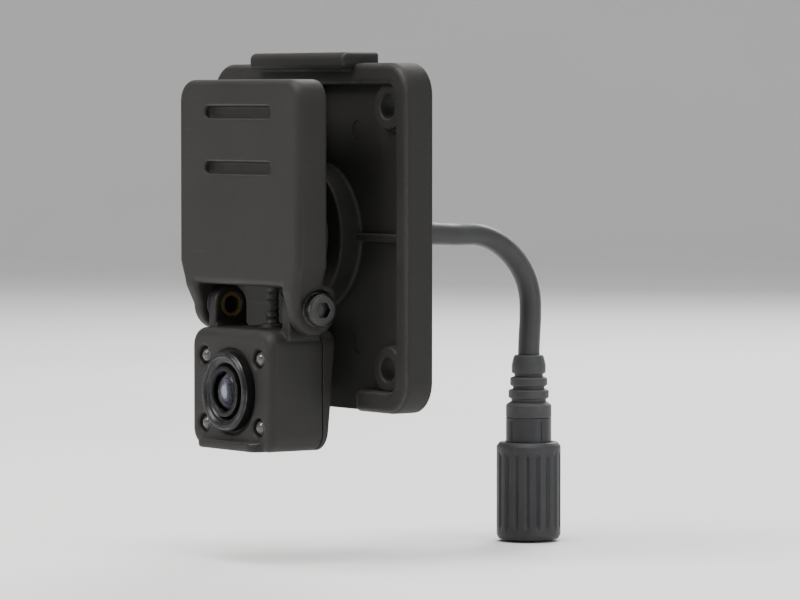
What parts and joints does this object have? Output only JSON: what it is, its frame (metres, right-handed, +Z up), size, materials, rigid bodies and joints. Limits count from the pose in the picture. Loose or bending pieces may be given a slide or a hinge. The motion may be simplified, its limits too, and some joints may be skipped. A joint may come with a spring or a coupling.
{
  "type": "backup camera",
  "caption": "Bumper backup camera: square frame, hooded electronics housing, tilting camera head below it and a cable with a waterproof plug.",
  "frame": {"origin": "centre of the mounting frame's back face, which lies on the bumper, and of its four screw holes", "axes": "+Y into the bumper, +Z up, +X to the right for someone facing the camera; the lens looks along -Y"},
  "size_m": [0.064, 0.0771, 0.0935],
  "materials": {
    "frame_plastic": "moulded, fine texture",
    "cover_plastic": "moulded, fine texture",
    "housing_plastic": "moulded, satin",
    "head_plastic": "moulded, fine texture",
    "gasket_foam": "closed-cell foam",
    "seal_rubber": "smooth",
    "vent_plastic": "satin",
    "zinc_steel": "zinc plated",
    "screw_steel": "satin stainless",
    "tilt_screw_steel": "dark stainless",
    "circuit_board": "solder mask",
    "led_circuit_board": "black solder mask",
    "chip_package": "moulded",
    "capacitor_can": "drawn can",
    "ferrite": "sintered",
    "crystal_can": "plated",
    "header_plastic": "natural nylon",
    "wire_sheath": "extruded",
    "cable_jacket": "smooth jacket",
    "boot_rubber": "moulded",
    "plug_plastic": "moulded, satin",
    "ring_plastic": "moulded",
    "insulator_plastic": "moulded",
    "contact_brass": "gold plated",
    "insert_brass": "turned",
    "washer_plastic": "acetal",
    "bezel_metal": "black anodised",
    "barrel_metal": "black anodised",
    "stop_metal": "matt black",
    "front_glass": "coated",
    "inner_glass": "coated",
    "filter_glass": "tinted",
    "holder_plastic": "moulded",
    "sensor_package": "packaged sensor",
    "led_epoxy": "clear epoxy"
  },
  "bodies": {
    "base": {"mounting_frame": "frame_plastic", "frame_gasket": "gasket_foam", "stem_nut": "zinc_steel", "stem_washer": "zinc_steel", "stem_seal": "seal_rubber", "rear_housing": "housing_plastic", "front_cover": "cover_plastic", "housing_seal": "seal_rubber", "vent_plug": "vent_plastic", "housing_screws": "screw_steel", "main_board": "circuit_board", "board_screws": "screw_steel", "video_processor": "chip_package", "memory_chip": "chip_package", "filter_capacitors": "capacitor_can", "power_inductor": "ferrite", "clock_crystal": "crystal_can", "cable_header": "header_plastic", "lead_wires": "wire_sheath", "upper_head_leads": "wire_sheath", "strain_relief": "boot_rubber", "cable": "cable_jacket", "plug_boot": "boot_rubber", "plug_body": "plug_plastic", "plug_insulator": "insulator_plastic", "plug_pins": "contact_brass", "plug_seal": "seal_rubber", "spring_washers": "screw_steel", "link_sleeve": "cable_jacket"},
    "camera_head": {"head_shell": "head_plastic", "head_cover": "head_plastic", "head_seal": "seal_rubber", "head_screws": "screw_steel", "threaded_inserts": "insert_brass", "friction_washers": "washer_plastic", "lens_bezel": "bezel_metal", "lens_barrel": "barrel_metal", "front_lens": "front_glass", "lens_retaining_ring": "barrel_metal", "middle_lens": "inner_glass", "rear_lens": "inner_glass", "lens_spacers": "barrel_metal", "aperture_stop": "stop_metal", "lens_seal": "seal_rubber", "lens_holder": "holder_plastic", "infrared_filter": "filter_glass", "image_sensor": "sensor_package", "sensor_board": "circuit_board", "sensor_leads": "wire_sheath", "led_board": "led_circuit_board", "illuminator_leds": "led_epoxy"},
    "left_screw": {"tilt_screw_left": "tilt_screw_steel"},
    "right_screw": {"tilt_screw_right": "tilt_screw_steel"},
    "plug_ring": {"coupling_ring": "ring_plastic"}
  },
  "joints": [
    {"name": "head_tilt", "type": "hinge", "parent": "base", "child": "camera_head", "pos_m": [0, -0.0155, -0.013], "axis": [1, 0, 0], "range_deg": [-35, 15], "deforming": ["link_sleeve"]},
    {"name": "tilt_screw_left_turn", "type": "hinge", "parent": "camera_head", "child": "left_screw", "pos_m": [0, -0.0155, -0.013], "axis": [-1, 0, 0], "range_deg": [0, 360]},
    {"name": "tilt_screw_right_turn", "type": "hinge", "parent": "camera_head", "child": "right_screw", "pos_m": [0, -0.0155, -0.013], "axis": [1, 0, 0], "range_deg": [0, 360]},
    {"name": "coupling_ring_turn", "type": "hinge", "parent": "base", "child": "plug_ring", "pos_m": [0, 0.046, -0.05], "axis": [0, 0, 1], "continuous": true}
  ]
}
